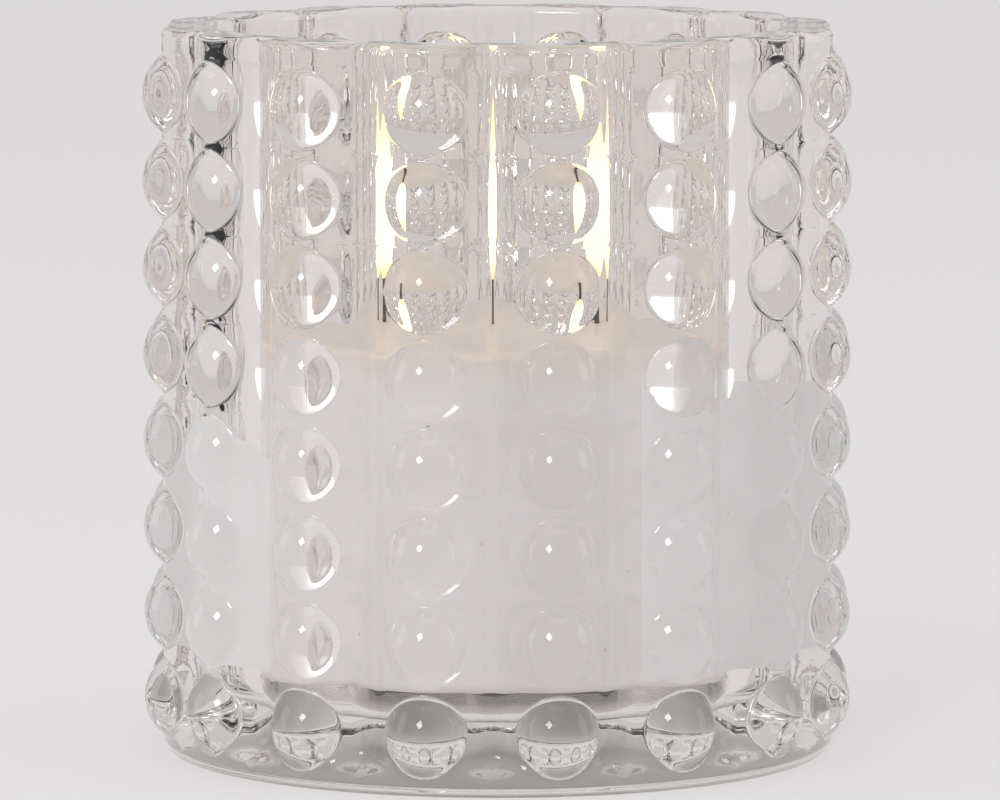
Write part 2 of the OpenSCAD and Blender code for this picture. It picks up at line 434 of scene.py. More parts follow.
@dataclass(frozen=True)
class FlameGlow:
    """Warm translucent plastic lit from inside, palest in its lower half."""

    low: float = 51.3 * MM
    high: float = 72.2 * MM
    core: Colour = (1.0, 0.80, 0.44)
    tip: Colour = (1.0, 0.56, 0.17)
    root: Colour = (1.0, 0.42, 0.10)
    strength: float = 1.9

    def make(self) -> bpy.types.Material:
        """Builds the lit skin."""
        bench = NodeBench("flame_glow")
        bench.principled(0.42, ior=1.46)
        rise = bench.mapped(bench.height(), self.low, self.high)
        colours = [
            (0.0, self.root),
            (0.14, self.core),
            (0.62, self.core),
            (1.0, self.tip),
        ]
        glow = bench.ramp(rise, colours)
        bench.drive("Base Color", glow)
        bench.drive("Emission Color", glow)
        drift = bench.mapped(
            bench.noise(3 * MM, vector=bench.stretched((1, 1, 0.4))),
            0.25,
            0.75,
            0.82 * self.strength,
            self.strength,
        )
        bench.drive("Emission Strength", drift)
        bench.drive("Normal", bench.bump(bench.noise(1.2 * MM), 0.2, 0.08 * MM))
        return bench.material


@dataclass(frozen=True)
class WickThread:
    """Black twisted wick sleeve."""

    colour: Colour = (0.012, 0.011, 0.010)

    def make(self) -> bpy.types.Material:
        """Builds the wick's thread."""
        bench = NodeBench("wick_thread")
        bench.principled(0.8)
        twist = bench.add("ShaderNodeTexWave", bands_direction="DIAGONAL")
        twist.inputs["Scale"].default_value = 420
        twist.inputs["Distortion"].default_value = 1.5
        bench.join(bench.place, twist.inputs["Vector"])
        strands = twist.outputs["Fac"]
        bench.drive("Base Color", bench.tones(strands, self.colour, (0.0, 1), (1.0, 3)))
        bench.drive("Normal", bench.bump(strands, 0.6, 0.12 * MM))
        return bench.material


@dataclass(frozen=True)
class MouldedPlastic:
    """Injection-moulded plastic with its tool's grain."""

    name: str
    colour: Colour
    roughness: float = 0.45
    grain: Grain = Grain.SATIN
    glow_through: float = 0.0
    # Painted light: a paler colour for the part outside a radius, standing in for light
    # that reaches it; the real plastic is one colour.
    painted_pale_plate: Colour | None = None
    painted_pale_inner: float = 13.45 * MM

    def make(self) -> bpy.types.Material:
        """Builds the plastic, with its outer part painted paler as painted light if it
        has a pale plate.
        """
        bench = NodeBench(self.name)
        shader = bench.principled(self.roughness, ior=1.49)
        cloud = bench.noise(4 * MM, detail=4.0)
        colour = bench.tones(cloud, self.colour, (0.25, 0.88), (0.75, 1.1))
        # Painted light: outside the inner radius the colour goes pale, standing in for
        # light reaching that part.
        if self.painted_pale_plate:
            reach = bench.add("ShaderNodeVectorMath", operation="LENGTH")
            bench.join(bench.stretched((1, 1, 0)), reach.inputs[0])
            out = bench.mapped(
                reach.outputs["Value"], self.painted_pale_inner, self.painted_pale_inner + 0.1 * MM
            )
            colour = bench.blend(out, colour, self.painted_pale_plate)
        bench.drive("Base Color", colour)
        matt = bench.noise(0.9 * MM)
        bench.shine(matt, self.roughness - 0.07, self.roughness + 0.09)
        flow = bench.bump(cloud, 0.12, 0.1 * MM)
        pits = bench.noise(0.28 * MM, detail=2.0, roughness=0.7)
        share = 0.12 + 0.6 * self.grain.value
        bench.drive("Normal", bench.bump(pits, share, 0.06 * MM, flow))
        if self.glow_through:
            shader.inputs["Subsurface Weight"].default_value = self.glow_through
            shader.inputs["Subsurface Radius"].default_value = (1.0, 0.9, 0.8)
            shader.inputs["Subsurface Scale"].default_value = 0.8 * MM
        return bench.material


@dataclass(frozen=True)
class StampedMetal:
    """Stamped or drawn sheet metal, with drawing lines along one axis."""

    name: str
    colour: Colour
    roughness: float = 0.28
    lines: tuple[float, float, float] = (1.0, 12.0, 12.0)

    def make(self) -> bpy.types.Material:
        """Builds the metal."""
        bench = NodeBench(self.name)
        bench.principled(self.roughness, metallic=1.0)
        drawn = bench.noise(
            1.6 * MM, detail=4.0, roughness=0.65, vector=bench.stretched(self.lines)
        )
        bench.drive("Base Color", bench.tones(drawn, self.colour, (0.2, 0.82), (0.8, 1)))
        bench.shine(drawn, self.roughness - 0.08, self.roughness + 0.12)
        bench.drive("Normal", bench.bump(drawn, 0.25, 0.02 * MM))
        return bench.material


@dataclass(frozen=True)
class SolderMask:
    """Green lacquer over etched copper, with tracks showing as raised lines."""

    lacquer: Colour = (0.012, 0.16, 0.055)
    over_copper: Colour = (0.03, 0.27, 0.10)

    def make(self) -> bpy.types.Material:
        """Builds the lacquered board."""
        bench = NodeBench("solder_mask")
        shader = bench.principled(0.3)
        tracks = bench.add("ShaderNodeTexBrick", offset=0.37, squash=0.7)
        tracks.inputs["Scale"].default_value = 210
        tracks.inputs["Mortar Size"].default_value = 0.035
        bench.join(bench.place, tracks.inputs["Vector"])
        line = bench.mapped(tracks.outputs["Fac"], 0.0, 1.0)
        bench.drive(
            "Base Color",
            bench.ramp(line, [(0.0, self.lacquer), (1.0, self.over_copper)]),
        )
        bench.drive("Normal", bench.bump(line, 0.4, 0.04 * MM))
        shader.inputs["Coat Weight"].default_value = 0.5
        shader.inputs["Coat Roughness"].default_value = 0.12
        return bench.material


@dataclass(frozen=True)
class FiredCeramic:
    """Fine sintered ceramic or resin, speckled under a matt skin."""

    name: str
    colour: Colour
    fleck: Colour
    roughness: float = 0.5

    def make(self) -> bpy.types.Material:
        """Builds the speckled body."""
        bench = NodeBench(self.name)
        bench.principled(self.roughness)
        flecks = bench.mapped(bench.cells(0.22 * MM), 0.0, 0.5)
        bench.drive(
            "Base Color", bench.ramp(flecks, [(0.15, self.fleck), (0.6, self.colour)])
        )
        bench.drive("Normal", bench.bump(bench.noise(0.15 * MM), 0.3, 0.02 * MM))
        return bench.material


@dataclass(frozen=True)
class WireEnamel:
    """Coloured insulation drawn over a thin wire."""

    name: str
    colour: Colour

    def make(self) -> bpy.types.Material:
        """Builds the insulation."""
        bench = NodeBench(self.name)
        bench.principled(0.32)
        drawn = bench.noise(0.8 * MM, vector=bench.stretched((6, 6, 1)))
        tone = bench.tones(drawn, self.colour, (0.2, 0.8), (0.8, 1.15))
        bench.drive("Base Color", tone)
        bench.drive("Normal", bench.bump(drawn, 0.2, 0.03 * MM))
        return bench.material


@dataclass(frozen=True)
class LampPhosphor:
    """Yellow phosphor over the lamp chips, lit."""

    colour: Colour = (1.0, 0.74, 0.22)
    strength: float = 2.5

    def make(self) -> bpy.types.Material:
        """Builds the glowing phosphor."""
        bench = NodeBench("lamp_phosphor")
        shader = bench.principled(0.5)
        grain = bench.noise(0.2 * MM)
        tone = bench.tones(grain, self.colour, (0.2, 0.85), (0.8, 1))
        bench.drive("Base Color", tone)
        bench.drive("Emission Color", tone)
        shader.inputs["Emission Strength"].default_value = self.strength
        bench.drive("Normal", bench.bump(grain, 0.3, 0.02 * MM))
        return bench.material


@dataclass(frozen=True)
class StudioPaper:
    """Pale translucent paper of a table that is faintly lit from below."""

    colour: Colour = (0.44, 0.437, 0.44)
    glow: Colour = (1.0, 0.985, 0.98)
    glow_strength: float = 0.37

    def make(self) -> bpy.types.Material:
        """Builds the paper."""
        bench = NodeBench("studio_paper")
        shader = bench.principled(0.9)
        fibre = bench.noise(4 * MM, detail=5.0)
        tone = bench.tones(fibre, self.colour, (0.2, 0.985), (0.8, 1))
        bench.drive("Base Color", tone)
        shader.inputs["Specular IOR Level"].default_value = 0.15
        shader.inputs["Emission Color"].default_value = (*self.glow, 1.0)
        shader.inputs["Emission Strength"].default_value = self.glow_strength
        return bench.material


# ---- mesh helpers ----------------------------------------------------------


class Sheet:
    """Collects vertices and faces, then welds them into one closed mesh."""

    def __init__(self) -> None:
        """Starts with nothing in it."""
        self.points: list[Points] = []
        self.faces: list[Points] = []
        self.count = 0

    def add(self, points: Points, faces: Points) -> None:
        """Adds a patch.

        Args:
            points: Rows of X, Y and Z.
            faces: Rows of four indices into points; a triangle repeats its last.
        """
        self.points.append(points)
        self.faces.append(faces + self.count)
        self.count += len(points)

    def add_rings(self, rings: Sequence[Points]) -> None:
        """Adds a closed band of rings that all have the same number of points.

        Args:
            rings: Rings in order, each a row of points per place round it.
        """
        stack = np.stack(rings)
        count, around = stack.shape[:2]
        i, j = np.meshgrid(np.arange(count - 1), np.arange(around), indexing="ij")
        k = (j + 1) % around
        low, high = i * around, (i + 1) * around
        quads = np.stack([low + j, low + k, high + k, high + j], axis=-1)
        self.add(stack.reshape(-1, 3), quads.reshape(-1, 4))

    def add_cap(self, ring: Points, middle: Points, upward: bool) -> None:
        """Closes a ring with a fan of triangles.

        Args:
            ring: Points of the ring.
            middle: The point in its middle.
            upward: True if the fan faces up.
        """
        around = len(ring)
        j = np.arange(around)
        k = (j + 1) % around
        hub = np.full(around, around)
        fan = np.stack([j, k, hub, hub] if upward else [k, j, hub, hub], axis=-1)
        self.add(np.vstack([ring, middle]), fan)

    def to_object(self, name: str) -> bpy.types.Object:
        """Welds the patches and makes a smooth-shaded object.

        Args:
            name: Name of the object.

        Returns:
            The object, linked to the scene.
        """
        points = np.vstack(self.points)
        faces = np.vstack(self.faces)
        keys = np.round(points / WELD).astype(np.int64)
        _, first, where = np.unique(
            keys, axis=0, return_index=True, return_inverse=True
        )
        welded, faces = points[first], where.reshape(-1)[faces]
        rows = []
        for row in faces.tolist():
            corners = list(dict.fromkeys(row))
            if len(corners) > 2:
                rows.append(corners)
        mesh = bpy.data.meshes.new(name)
        mesh.from_pydata(welded.tolist(), [], rows)
        mesh.validate()
        mesh.shade_smooth()
        piece = bpy.data.objects.new(name, mesh)
        bpy.context.scene.collection.objects.link(piece)
        return piece


def ring_at(radius: Points | float, height: Points | float, turns: Points) -> Points:
    """Points round the axis.

    Args:
        radius: Radius at each place, or one for all.
        height: Height at each place, or one for all.
        turns: Angles from -Y towards +X, in radians.

    Returns:
        Rows of X, Y and Z.
    """
    radius = np.broadcast_to(radius, turns.shape)
    height = np.broadcast_to(height, turns.shape)
    return np.stack([radius * np.sin(turns), -radius * np.cos(turns), height], axis=-1)


def smooth_top(first: Points, second: Points, width: float) -> Points:
    """The larger of two values, with a fillet where they are within width."""
    overlap = np.maximum(width - np.abs(first - second), 0) / width
    return np.maximum(first, second) + overlap**2 * width / 4


def ease(value: Points, low: float, high: float) -> Points:
    """A smooth step from 0 at low to 1 at high."""
    share = np.clip((value - low) / (high - low), 0, 1)
    return share * share * (3 - 2 * share)


@dataclass(frozen=True)
class Ripple:
    """One wave round a surface, which turns as it rises or widens."""

    around: int
    drift: float = 0.0
    start: float = 0.0
    share: float = 1.0

    def at(self, turns: Points, level: Points | float) -> Points:
        """The wave at angles in radians and at a level in millimetres."""
        return self.share * np.sin(self.around * turns + self.drift * level + self.start)


def rippled(
    ripples: Sequence[Ripple], turns: Points, level: Points | float
) -> tuple[Points, float]:
    """Several waves laid over each other.

    Args:
        ripples: The waves.
        turns: Angles round the surface.
        level: Height or radius at which they are wanted.

    Returns:
        Their sum at each angle, and the most that it can reach.
    """
    total = sum(ripple.at(turns, np.asarray(level) / MM) for ripple in ripples)
    return total, sum(ripple.share for ripple in ripples)


def dress(piece: bpy.types.Object, material: bpy.types.Material) -> bpy.types.Object:
    """Gives a piece one material.

    Args:
        piece: Object to dress.
        material: Its finish.

    Returns:
        The same object.
    """
    piece.data.materials.clear()
    piece.data.materials.append(material)
    return piece


# ---- the glass -------------------------------------------------------------


@dataclass
class HobnailGlass:
    """Pressed glass with upright ribs, a column of round beads on each rib."""

    rib_count: int = 16
    rib_axis: float = 29.9 * MM
    rib_radius: float = 7.2 * MM
    groove_fillet: float = 2.8 * MM
    row_count: int = 8
    row_low: float = 6.65 * MM
    row_pitch: float = 9.45 * MM
    bead_radius: float = 5.1 * MM
    bead_steep: float = 4.75 * MM
    bead_fillet: float = 0.6 * MM
    bead_squeeze: float = 1.17
    bead_base: float = 4.5 * MM
    foot_radius: float = 36.8 * MM
    foot_top: float = 2.2 * MM
    foot_blend: float = 2.0 * MM
    foot_edge: float = 1.6 * MM
    rim_edge: float = 0.9 * MM
    bore_radius: float = 31.0 * MM
    bore_floor: float = 7.4 * MM
    bore_corner: float = 2.4 * MM
    hollow_radius: float = 30.0 * MM
    hollow_depth: float = 0.6 * MM
    hollow_slope: float = 1.8 * MM
    stipple_margin: float = 0.1 * MM
    wave_depth: float = 0.12 * MM
    wave_low: float = 47.5 * MM
    wave_fade: float = 5.0 * MM
    waves: tuple[Ripple, ...] = (
        Ripple(5, 0.13),
        Ripple(9, -0.21, 1.3),
        Ripple(14, 0.34, 4.0, 0.8),
    )
    side_steps: int = 10
    top_steps: int = 14
    bead_steps: int = 16
    web_steps: int = 12
    web_crowding: float = 1.25
    rim_steps: int = 6
    bore_steps: int = 33
    round_steps: int = 8
    finish: PressedGlass = field(default_factory=PressedGlass)
    underside: StippledFoot = field(default_factory=StippledFoot)

    def __post_init__(self) -> None:
        """Works out what follows from the frame and from the driving sizes."""
        low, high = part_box("glass_holder")
        self.height = high.z - low.z
        self.bead_top = (high.x - low.x) / 2
        self.bead_axis = self.bead_top - self.bead_radius
        self.half_step = math.pi / self.rib_count
        reach = self.rib_radius + self.groove_fillet
        half = self.rib_axis * math.cos(self.half_step)
        self.fillet_axis = half + math.sqrt(half**2 - self.rib_axis**2 + reach**2)
        across = self.fillet_axis * math.sin(self.half_step) * self.rib_radius / reach
        along = (
            self.rib_axis
            + (self.fillet_axis * math.cos(self.half_step) - self.rib_axis)
            * self.rib_radius
            / reach
        )
        self.rib_end = math.atan2(across, along)

    def rib_wall(self, turn: Points) -> Points:
        """Radius of the ribbed wall.

        Args:
            turn: Angles from the nearest rib's crest.

        Returns:
            Radius from the glass's axis at each.
        """
        turn = np.abs(turn)
        rib = self.rib_axis * np.cos(turn) + np.sqrt(
            np.maximum(self.rib_radius**2 - (self.rib_axis * np.sin(turn)) ** 2, 0)
        )
        off = turn - self.half_step
        groove = self.fillet_axis * np.cos(off) - np.sqrt(
            np.maximum(self.groove_fillet**2 - (self.fillet_axis * np.sin(off)) ** 2, 0)
        )
        return np.where(turn < self.rib_end, rib, groove)

    def outside(self, turn: Points, height: Points, bead_height: float) -> Points:
        """Radius of the outer wall within one bead's cell.

        Args:
            turn: Angles from the rib's crest.
            height: Heights above the foot.
            bead_height: Height of the bead's middle.

        Returns:
            Radius from the glass's axis at each place.
        """
        foot = 1 - ease(height, self.foot_top, self.foot_top + self.foot_blend)
        wall = self.rib_wall(turn)
        wall = wall + (self.foot_radius - wall) * foot
        across = self.bead_squeeze * self.bead_axis * np.sin(turn)
        off = np.hypot(across, height - bead_height)
        inner = np.minimum(off, self.bead_steep)
        rise = np.sqrt(self.bead_radius**2 - inner**2)
        slope = self.bead_steep / math.sqrt(self.bead_radius**2 - self.bead_steep**2)
        bead = self.bead_axis * np.cos(turn) + rise - slope * (off - inner)
        return smooth_top(wall, bead, self.bead_fillet)

    def bore_wave(self, turns: Points, height: Points | float) -> Points:
        """Slight waviness that the plunger left in the bore, outward only.

        Args:
            turns: Angles round the glass.
            height: Heights above the foot.

        Returns:
            Amount by which the bore is wider at each place.
        """
        wave, most = rippled(self.waves, turns, height)
        return self.wave_depth * (wave + most) / (2 * most)

    def cell_grid(self) -> tuple[Points, Points, Points]:
        """Places of one cell's vertices on the unrolled wall, from the middle out.

        Returns:
            Angle from the crest, height from the bead's middle, and quads.
        """
        half_w, half_h = self.half_step, self.row_pitch / 2
        across = np.linspace(-half_w, half_w, self.top_steps + 1)
        up = np.linspace(-half_h, half_h, self.side_steps + 1)
        side = np.full(self.side_steps, half_w)
        top = np.full(self.top_steps, half_h)
        edge_turn = np.concatenate([across[:-1], side, across[:0:-1], -side])
        edge_up = np.concatenate([-top, up[:-1], top, up[:0:-1]])
        angle = np.arctan2(edge_up, edge_turn * self.bead_axis)
        bends = np.linspace(0, math.pi / 2, self.bead_steps + 1)[1:]
        discs = self.bead_base * np.sin(bends)
        turns, ups = [np.zeros(1)], [np.zeros(1)]
        for radius in discs:
            across = radius * np.cos(angle) / self.bead_squeeze
            turns.append(across / self.bead_axis)
            ups.append(radius * np.sin(angle))
        shares = np.arange(1, self.web_steps + 1) / self.web_steps
        for share in shares**self.web_crowding:
            turns.append(turns[len(discs)] * (1 - share) + edge_turn * share)
            ups.append(ups[len(discs)] * (1 - share) + edge_up * share)
        around = len(angle)
        j = np.arange(around)
        k = (j + 1) % around
        hub = np.zeros(around, int)
        quads = [np.stack([hub, hub, 1 + j, 1 + k], axis=-1)]
        for ring in range(len(turns) - 2):
            a, b = 1 + ring * around, 1 + (ring + 1) * around
            quads.append(np.stack([a + j, b + j, b + k, a + k], axis=-1))
        return np.concatenate(turns), np.concatenate(ups), np.vstack(quads)

    def outer_rows(self, sheet: Sheet) -> None:
        """Adds every bead's cell.

        Args:
            sheet: Mesh being collected.
        """
        turn, up, quads = self.cell_grid()
        for row in range(self.row_count):
            middle = self.row_low + row * self.row_pitch
            radius = self.outside(turn, middle + up, middle)
            for rib in range(self.rib_count):
                spun = turn + rib * 2 * self.half_step
                sheet.add(ring_at(radius, middle + up, spun), quads)

    def build(self) -> bpy.types.Object:
        """Builds the whole glass as one closed mesh."""
        sheet = Sheet()
        self.outer_rows(sheet)
        step = 2 * self.half_step
        local = np.linspace(-self.half_step, self.half_step, self.top_steps + 1)[:-1]
        local = np.tile(local, self.rib_count)
        ribs = np.repeat(np.arange(self.rib_count), self.top_steps)
        turns = local + ribs * step
        self.add_rim(sheet, local, turns)
        self.add_foot(sheet, local, turns)
        piece = sheet.to_object("clear_glass_body")
        dress(piece, self.finish.make())
        piece.data.materials.append(self.underside.make())
        faces = piece.data.polygons
        middles = np.empty(len(faces) * 3)
        faces.foreach_get("center", middles)
        under = middles.reshape(-1, 3)[:, 2] < self.hollow_depth + self.stipple_margin
        inside = np.hypot(*middles.reshape(-1, 3)[:, :2].T) < self.hollow_radius
        faces.foreach_set("material_index", (under & inside).astype(np.int32))
        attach(piece, Body.GLASS.value)
        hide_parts("glass_holder")
        log.info("%s: %d vertices", piece.name, len(piece.data.vertices))
        return piece

    def add_rim(self, sheet: Sheet, local: Points, turns: Points) -> None:
        """Adds the wall above the beads, the rounded rim, the bore and its floor.

        Args:
            sheet: Mesh being collected.
            local: Angles from the nearest crest.
            turns: Angles round the glass.
        """
        top_row = self.row_low + (self.row_count - 1) * self.row_pitch
        start = top_row + self.row_pitch / 2
        wall = self.rib_wall(local)
        first = self.outside(local, np.full_like(local, start), top_row)
        edge_low = self.height - self.rim_edge
        rings = [ring_at(first, start, turns)]
        for share in (0.35, 0.7, 1.0):
            rings.append(ring_at(wall, start + share * (edge_low - start), turns))
        outline = ring_at(wall, edge_low, turns)
        ahead, behind = np.roll(outline, -1, axis=0), np.roll(outline, 1, axis=0)
        along = ahead - behind
        normal = np.stack([along[:, 1], -along[:, 0], along[:, 2] * 0], axis=-1)
        normal /= np.linalg.norm(normal, axis=1)[:, None]
        lift = np.array([0, 0, 1.0])
        for bend in np.linspace(0, math.pi / 2, self.rim_steps + 1)[1:]:
            inset = self.rim_edge * (1 - math.cos(bend))
            rise = self.rim_edge * math.sin(bend)
            rings.append(outline - normal * inset + lift * rise)
        land = rings[-1]
        inner = ring_at(self.bore_radius + self.rim_edge, self.height, turns)
        for share in (0.25, 0.5, 0.75, 1.0):
            rings.append(land * (1 - share) + inner * share)
        for bend in np.linspace(0, math.pi / 2, self.rim_steps + 1)[1:]:
            radius = self.bore_radius + self.rim_edge * (1 - math.sin(bend))
            height = edge_low + self.rim_edge * math.cos(bend)
            rings.append(ring_at(radius, height, turns))
        corner_top = self.bore_floor + self.bore_corner
        for height in np.linspace(edge_low, corner_top, self.bore_steps + 1)[1:]:
            low_fade = ease(height, self.wave_low, self.wave_low + self.wave_fade)
            high_fade = 1 - ease(height, edge_low - self.wave_fade, edge_low)
            wave = self.bore_wave(turns, height) * low_fade * high_fade
            rings.append(ring_at(self.bore_radius + wave, height, turns))
        for bend in np.linspace(0, math.pi / 2, self.round_steps + 1)[1:]:
            radius = self.bore_radius - self.bore_corner * (1 - math.cos(bend))
            height = corner_top - self.bore_corner * math.sin(bend)
            rings.append(ring_at(radius, height, turns))
        flat_end = self.bore_radius - self.bore_corner
        for radius in np.linspace(flat_end, 0, self.round_steps + 1)[1:-1]:
            rings.append(ring_at(radius, self.bore_floor, turns))
        sheet.add_rings(rings)
        sheet.add_cap(rings[-1], np.array([[0, 0, self.bore_floor]]), upward=True)

    def add_foot(self, sheet: Sheet, local: Points, turns: Points) -> None:
        """Adds the round foot and the hollow under it.

        Args:
            sheet: Mesh being collected.
            local: Angles from the nearest crest.
            turns: Angles round the glass.
        """
        start = self.row_low - self.row_pitch / 2
        first = self.outside(local, np.full_like(local, start), self.row_low)
        rings = [ring_at(first, start, turns)]
        edge_middle = self.foot_radius - self.foot_edge
        for bend in np.linspace(0, math.pi / 2, self.round_steps + 1):
            radius = edge_middle + self.foot_edge * math.cos(bend)
            lift = self.foot_edge * (1 - math.sin(bend))
            rings.append(ring_at(radius, lift, turns))
        slope_end = self.hollow_radius + self.hollow_slope / 2
        for radius in np.linspace(edge_middle, slope_end, 4)[1:]:
            rings.append(ring_at(radius, 0.0, turns))
        for share in np.linspace(0, 1, self.rim_steps + 1)[1:]:
            radius = slope_end - share * self.hollow_slope
            rings.append(ring_at(radius, self.hollow_depth * ease(share, 0, 1), turns))
        roof_end = slope_end - self.hollow_slope
        for radius in np.linspace(roof_end, 0, self.round_steps + 1)[1:-1]:
            rings.append(ring_at(radius, self.hollow_depth, turns))
        rings.reverse()
        sheet.add_rings(rings)
        sheet.add_cap(rings[0], np.array([[0, 0, self.hollow_depth]]), upward=False)


# ---- the candle ------------------------------------------------------------


@dataclass
class Lathe:
    """A turned body from an open half section that starts and ends on its axis."""

    name: str
    around: int = 160

    def build(
        self,
        section: Sequence[tuple[float, float]],
        stray: Callable[..., tuple[Points, Points]],
    ) -> bpy.types.Object:
        """Turns the section.

        Args:
            section: Radius and height pairs from the lower end up and over.
            stray: Gives the radial and upward stray at each angle, radius and height.

        Returns:
            The turned object.
        """
        turns = np.linspace(0, TURN, self.around + 1)[:-1]
        sheet = Sheet()
        rings = []
        for radius, height in section:
            out, up = stray(turns, radius, height)
            rings.append(ring_at(radius + out, height + up, turns))
        sheet.add_rings(rings)
        return sheet.to_object(self.name)


def arc(
    middle: tuple[float, float], radius: float, start: float, end: float, steps: int
) -> list[tuple[float, float]]:
    """Points on an arc of a half section.

    Args:
        middle: Radius and height of its centre.
        radius: The arc's own radius.
        start: First angle in degrees, from outward towards up.
        end: Last angle in degrees.
        steps: Number of steps.

    Returns:
        Radius and height pairs.
    """
    return [
        (
            middle[0] + radius * math.cos(math.radians(a)),
            middle[1] + radius * math.sin(math.radians(a)),
        )
        for a in np.linspace(start, end, steps + 1)
    ]


@dataclass(frozen=True)
class Patch:
    """Where the wax lies against the glass: degrees round it, and its top in mm."""

    middle: float
    spread: float
    top: float


@dataclass
class WaxCandle:
    """The wax drum, its wick and its flame."""

    edge: float = 1.1 * MM
    roof: float = 4.1 * MM
    skirt_radius: float = 26.1 * MM
    skirt_top: float = 20.75 * MM
    ledge_radius: float = 25.0 * MM
    skirt_land: float = 1.5 * MM
    wick_hole: float = 0.9 * MM
    well_outer: float = 2.2 * MM
    well_inner: float = 1.5 * MM
    well_lip: float = 0.12 * MM
    well_depth: float = 0.5 * MM
    wall_steps: int = 21
    top_steps: int = 15
    side_sink: float = 0.045 * MM
    side_waves: tuple[Ripple, ...] = (Ripple(3, 0.11), Ripple(5, -0.17, 1.0, 0.6))
    top_sink: float = 0.06 * MM
    top_waves: tuple[Ripple, ...] = (Ripple(2, 0.22), Ripple(5, -0.3, 2.0, 0.7))
    press: float = 0.81 * MM
    patches: tuple[Patch, ...] = (Patch(88, 58, 44.6), Patch(292, 46, 38.5))
    patch_side_fade: float = 12
    patch_fade_low: float = 1.6
    patch_fade_high: float = 1.0
    patch_waves: tuple[Ripple, ...] = (Ripple(7, 0, 0.4, 1.6), Ripple(13, 0, 2.0, 1.1))
    flame_belly: float = 0.35
    flame_fullness: float = 1.6
    flame_span: tuple[float, float] = (0.03, 0.995)
    flame_steps: int = 39
    flame_around: int = 72
    fold_share: float = 0.04
    wax: CandleWax = field(default_factory=CandleWax)
    flame: FlameGlow = field(default_factory=FlameGlow)
    thread: WickThread = field(default_factory=WickThread)

    def wax_section(self) -> list[tuple[float, float]]:
        """Half section of the wax, round from the skirt's inner edge and back to it."""
        low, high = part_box("wax_shell")
        radius, foot, top = high.x, low.z, high.z
        edge = self.edge
        land_end = self.skirt_radius + self.skirt_land
        section = [(self.skirt_radius, foot), (land_end, foot)]
        section += arc((radius - edge, foot + edge), edge, -90, 0, 6)
        wall = np.linspace(foot + edge, top - edge, self.wall_steps + 1)
        section += [(radius, z) for z in wall[1:-1]]
        section += arc((radius - edge, top - edge), edge, 0, 90, 8)
        lid = np.linspace(radius - edge, self.well_outer, self.top_steps + 1)
        section += [(r, top) for r in lid[1:]]
        section += [(self.well_inner, top - self.well_lip)]
        section += [(self.wick_hole, top - self.well_depth)]
        under = top - self.roof
        section += [(self.wick_hole, under)]
        ceiling = np.linspace(self.wick_hole, self.ledge_radius, 7)
        section += [(r, under) for r in ceiling[1:]]
        section += [
            (self.ledge_radius, z) for z in np.linspace(under, self.skirt_top, 6)[1:]
        ]
        section += [(self.skirt_radius, self.skirt_top), (self.skirt_radius, foot)]
        return section

    def wax_stray(
        self, turns: Points, radius: float, height: float
    ) -> tuple[Points, Points]:
        """Slight sinking of cast wax, which bulges only where it meets the glass.

        Args:
            turns: Angles round the wax.
            radius: Radius of the ring.
            height: Height of the ring.

        Returns:
            Radial and upward stray at each angle.
        """
        _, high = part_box("wax_shell")
        side, most_side = rippled(self.side_waves, turns, height)
        outer = ease(np.array(radius), high.x - 2 * MM, high.x)
        top, most_top = rippled(self.top_waves, turns, radius)
        flat = ease(np.array(height), high.z - 0.3 * MM, high.z)
        inner = ease(np.array(radius), 2 * MM, 9 * MM)
        touch = outer * self.touching(turns, height)
        sunk = outer * self.side_sink * (side - most_side) * (1 - touch)
        return (
            sunk + touch * self.press,
            flat * inner * self.top_sink * (top - most_top),
        )

    def touching(self, turns: Points, height: float) -> Points:
        """Where the wax has settled against the glass.

        Args:
            turns: Angles round the wax.
            height: Height of the ring.

        Returns:
            Share from 0, clear of the glass, to 1, pressed to it.
        """
        wander, _ = rippled(self.patch_waves, turns, height)
        edge = height / MM + wander
        share = np.zeros_like(turns)
        for patch in self.patches:
            off = np.abs(np.mod(np.degrees(turns) - patch.middle + 180, 360) - 180)
            side = 1 - ease(off, patch.spread - self.patch_side_fade, patch.spread)
            low, high = patch.top - self.patch_fade_low, patch.top + self.patch_fade_high
            share = np.maximum(share, side * (1 - ease(edge, low, high)))
        return share

    def flame_section(self) -> list[tuple[float, float]]:
        """Half section of the flame, from its foot to its tip."""
        low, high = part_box("flame_shell")
        radius, height = high.x, high.z - low.z
        belly = self.flame_belly
        section = []
        steps = np.linspace(*self.flame_span, self.flame_steps + 1)
        for share in 0.5 - 0.5 * np.cos(steps * math.pi):
            leaf = (share / belly) ** belly * ((1 - share) / (1 - belly)) ** (1 - belly)
            section.append((radius * leaf**self.flame_fullness, low.z + height * share))
        return section

    def flame_fold(self, turns: Points, radius: float, height: float) -> Points:
        """Soft folds down the flame, only ever inward.

        Args:
            turns: Angles round the flame.
            radius: Radius of the ring.
            height: Height of the ring.

        Returns:
            Radial stray at each angle.
        """
        fold = np.sin(3 * turns + 0.25 * height / MM) - 1
        return self.fold_share * radius * fold

    def build(self) -> None:
        """Builds the wax and the flame, and dresses the wick."""
        drum = Lathe("wax_drum").build(self.wax_section(), self.wax_stray)
        dress(drum, self.wax.make())
        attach(drum, Body.CANDLE.value)
        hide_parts("wax_shell")
        log.info("%s: %d vertices", drum.name, len(drum.data.vertices))

